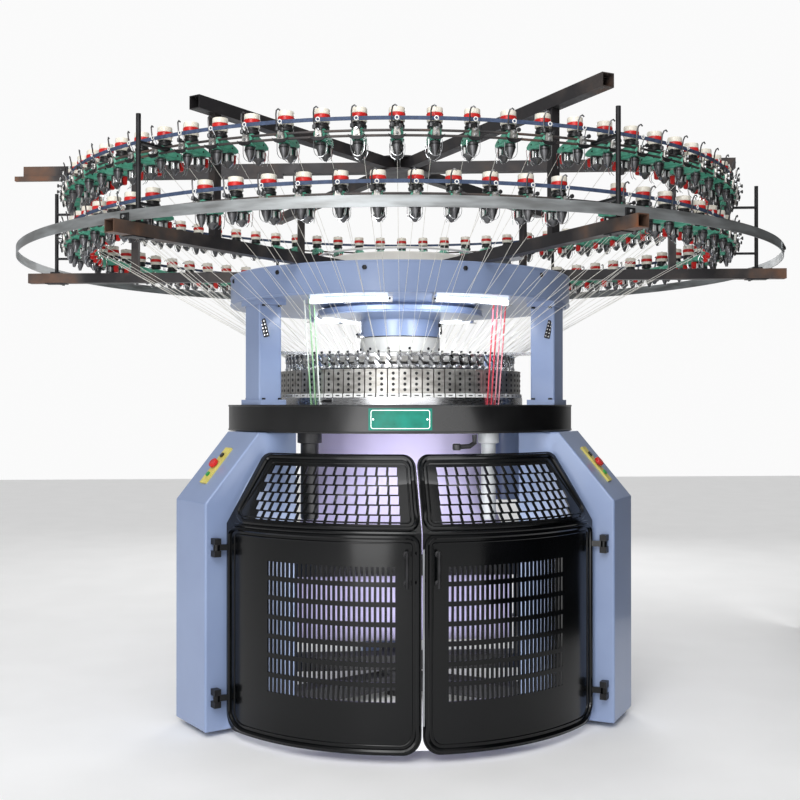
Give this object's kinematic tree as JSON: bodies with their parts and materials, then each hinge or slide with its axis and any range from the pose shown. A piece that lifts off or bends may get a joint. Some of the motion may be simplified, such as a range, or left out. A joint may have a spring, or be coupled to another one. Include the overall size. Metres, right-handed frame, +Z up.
{
  "type": "circular knitting machine",
  "caption": "Floor-standing double-knit circular machine: box legs, black front doors, needle cylinder with cams, blue head drum and an overhead ring of belt-driven yarn feeders.",
  "frame": {"origin": "on the floor under the machine's axis", "axes": "+Z up along the machine's axis, -Y towards the door seam"},
  "size_m": [3.2699, 3.11, 2.273],
  "materials": {
    "blue_paint": "semi-gloss enamel, light steel blue",
    "cream_paint": "semi-gloss enamel, cream",
    "grey_paint": "satin enamel",
    "black_paint": "satin enamel",
    "motor_paint": "satin enamel",
    "dark_iron": "painted casting",
    "black_rubber": "matt",
    "roller_rubber": "ground rubber",
    "green_plate": "flat enamel, blank",
    "gear_steel": "machined, oiled",
    "bright_steel": "ground",
    "cam_steel": "milled",
    "chrome": "polished",
    "black_steel": "black oxide",
    "lamp_white": "diffuser",
    "arm_steel": "bare and black steel tube, light rust",
    "zinc_strip": "galvanised",
    "feeder_green": "moulded",
    "cream_plastic": "moulded",
    "red_plastic": "moulded",
    "green_plastic": "moulded",
    "black_plastic": "moulded",
    "belt_fabric": "woven-backed belt",
    "aluminium": "machined",
    "yarn_white": "spun yarn",
    "tube_red": "soft tube",
    "knit_fabric": "fine rib knit",
    "door_gloss": "glossy moulding",
    "strip_grey": "satin extrusion",
    "yellow_plate": "flat enamel, blank"
  },
  "bodies": {
    "frame": {"left_leg": "blue_paint", "right_leg": "blue_paint", "rear_leg": "blue_paint", "foot_pads": "black_rubber", "base_spider": "dark_iron", "bed_ring": "black_paint", "name_plate": "green_plate", "drive_motor": "motor_paint", "cam_ring": "bright_steel", "cam_boxes": "cam_steel", "guide_ring": "bright_steel", "yarn_guides": "chrome", "dial_cam_plate": "cam_steel", "lower_hub": "cream_paint", "upper_hub": "blue_paint", "left_column": "blue_paint", "right_column": "blue_paint", "rear_column": "blue_paint", "column_bolts": "black_steel", "head_casting": "blue_paint", "gear_cover": "cream_paint", "lamps": "lamp_white", "lower_arms": "arm_steel", "top_arms": "arm_steel", "top_hub": "arm_steel", "inner_posts": "arm_steel", "outer_posts": "black_steel", "strip_ring": "zinc_strip", "feeder_rods": "arm_steel", "upper_feeders": "feeder_green", "lower_feeders": "feeder_green", "feeder_wheels": "cream_plastic", "feeder_belts": "belt_fabric", "pulley_stand": "grey_paint", "yarns": "yarn_white", "oil_tubes": "tube_red", "hinge_blocks": "black_steel", "right_control_plate": "yellow_plate", "left_control_plate": "yellow_plate"},
    "cylinder": {"needle_cylinder": "bright_steel", "cylinder_gear": "gear_steel"},
    "dial_unit": {"dial": "bright_steel"},
    "drive": {"drive_shaft": "gear_steel"},
    "takedown": {"takedown_frame": "dark_iron", "fabric_tube": "knit_fabric"},
    "front_nip": {"front_nip_roller": "roller_rubber"},
    "back_nip": {"back_nip_roller": "roller_rubber"},
    "roll": {"cloth_roll": "knit_fabric"},
    "pulley": {"speed_pulley": "aluminium"},
    "right_door_unit": {"right_door": "door_gloss", "right_handle": "black_steel", "seam_strip": "strip_grey"},
    "left_door_unit": {"left_door": "door_gloss", "left_handle": "black_steel"},
    "right_stop_button_unit": {"right_stop_button": "red_plastic"},
    "right_start_button_unit": {"right_start_button": "green_plastic"},
    "right_jog_button_unit": {"right_jog_button": "black_plastic"},
    "left_stop_button_unit": {"left_stop_button": "red_plastic"},
    "left_start_button_unit": {"left_start_button": "green_plastic"},
    "left_jog_button_unit": {"left_jog_button": "black_plastic"}
  },
  "joints": [
    {"name": "cylinder_spin", "type": "hinge", "parent": "frame", "child": "cylinder", "pos_m": [0, 0, 1.2], "axis": [0, 0, 1], "continuous": true},
    {"name": "dial_spin", "type": "hinge", "parent": "frame", "child": "dial_unit", "pos_m": [0, 0, 1.4], "axis": [0, 0, 1], "continuous": true},
    {"name": "drive_spin", "type": "hinge", "parent": "frame", "child": "drive", "pos_m": [0.49883, 0.288, 1.17], "axis": [0, 0, 1], "continuous": true},
    {"name": "takedown_spin", "type": "hinge", "parent": "frame", "child": "takedown", "pos_m": [0, 0, 0.1], "axis": [0, 0, 1], "continuous": true},
    {"name": "front_nip_spin", "type": "hinge", "parent": "takedown", "child": "front_nip", "pos_m": [0, -0.0361, 0.54], "axis": [1, 0, 0], "continuous": true},
    {"name": "back_nip_spin", "type": "hinge", "parent": "takedown", "child": "back_nip", "pos_m": [0, 0.0361, 0.54], "axis": [1, 0, 0], "continuous": true},
    {"name": "cloth_roll_spin", "type": "hinge", "parent": "takedown", "child": "roll", "pos_m": [0, 0.1011, 0.3], "axis": [1, 0, 0], "continuous": true},
    {"name": "speed_pulley_spin", "type": "hinge", "parent": "frame", "child": "pulley", "pos_m": [0.43672, 0.05362, 1.88], "axis": [0, 0, 1], "continuous": true},
    {"name": "right_door_swing", "type": "hinge", "parent": "frame", "child": "right_door_unit", "pos_m": [0.7269, -0.60097, 0.42], "axis": [0, 0, 1], "range_deg": [0, 100]},
    {"name": "left_door_swing", "type": "hinge", "parent": "frame", "child": "left_door_unit", "pos_m": [-0.7269, -0.60097, 0.42], "axis": [0, 0, -1], "range_deg": [0, 100]},
    {"name": "right_stop_button_press", "type": "slide", "parent": "frame", "child": "right_stop_button_unit", "axis": [-0.66, 0.3811, -0.6474], "range_m": [0, 0.005], "stiffness_N_per_m": 600},
    {"name": "right_start_button_press", "type": "slide", "parent": "frame", "child": "right_start_button_unit", "axis": [-0.66, 0.3811, -0.6474], "range_m": [0, 0.003], "stiffness_N_per_m": 300},
    {"name": "right_jog_button_press", "type": "slide", "parent": "frame", "child": "right_jog_button_unit", "axis": [-0.66, 0.3811, -0.6474], "range_m": [0, 0.003], "stiffness_N_per_m": 300},
    {"name": "left_stop_button_press", "type": "slide", "parent": "frame", "child": "left_stop_button_unit", "axis": [0.66, 0.3811, -0.6474], "range_m": [0, 0.005], "stiffness_N_per_m": 600},
    {"name": "left_start_button_press", "type": "slide", "parent": "frame", "child": "left_start_button_unit", "axis": [0.66, 0.3811, -0.6474], "range_m": [0, 0.003], "stiffness_N_per_m": 300},
    {"name": "left_jog_button_press", "type": "slide", "parent": "frame", "child": "left_jog_button_unit", "axis": [0.66, 0.3811, -0.6474], "range_m": [0, 0.003], "stiffness_N_per_m": 300}
  ],
  "couplings": [
    {"joint": "dial_spin", "follows": "cylinder_spin", "ratio": 1},
    {"joint": "takedown_spin", "follows": "cylinder_spin", "ratio": 1},
    {"joint": "drive_spin", "follows": "cylinder_spin", "ratio": -5},
    {"joint": "back_nip_spin", "follows": "front_nip_spin", "ratio": -1}
  ]
}
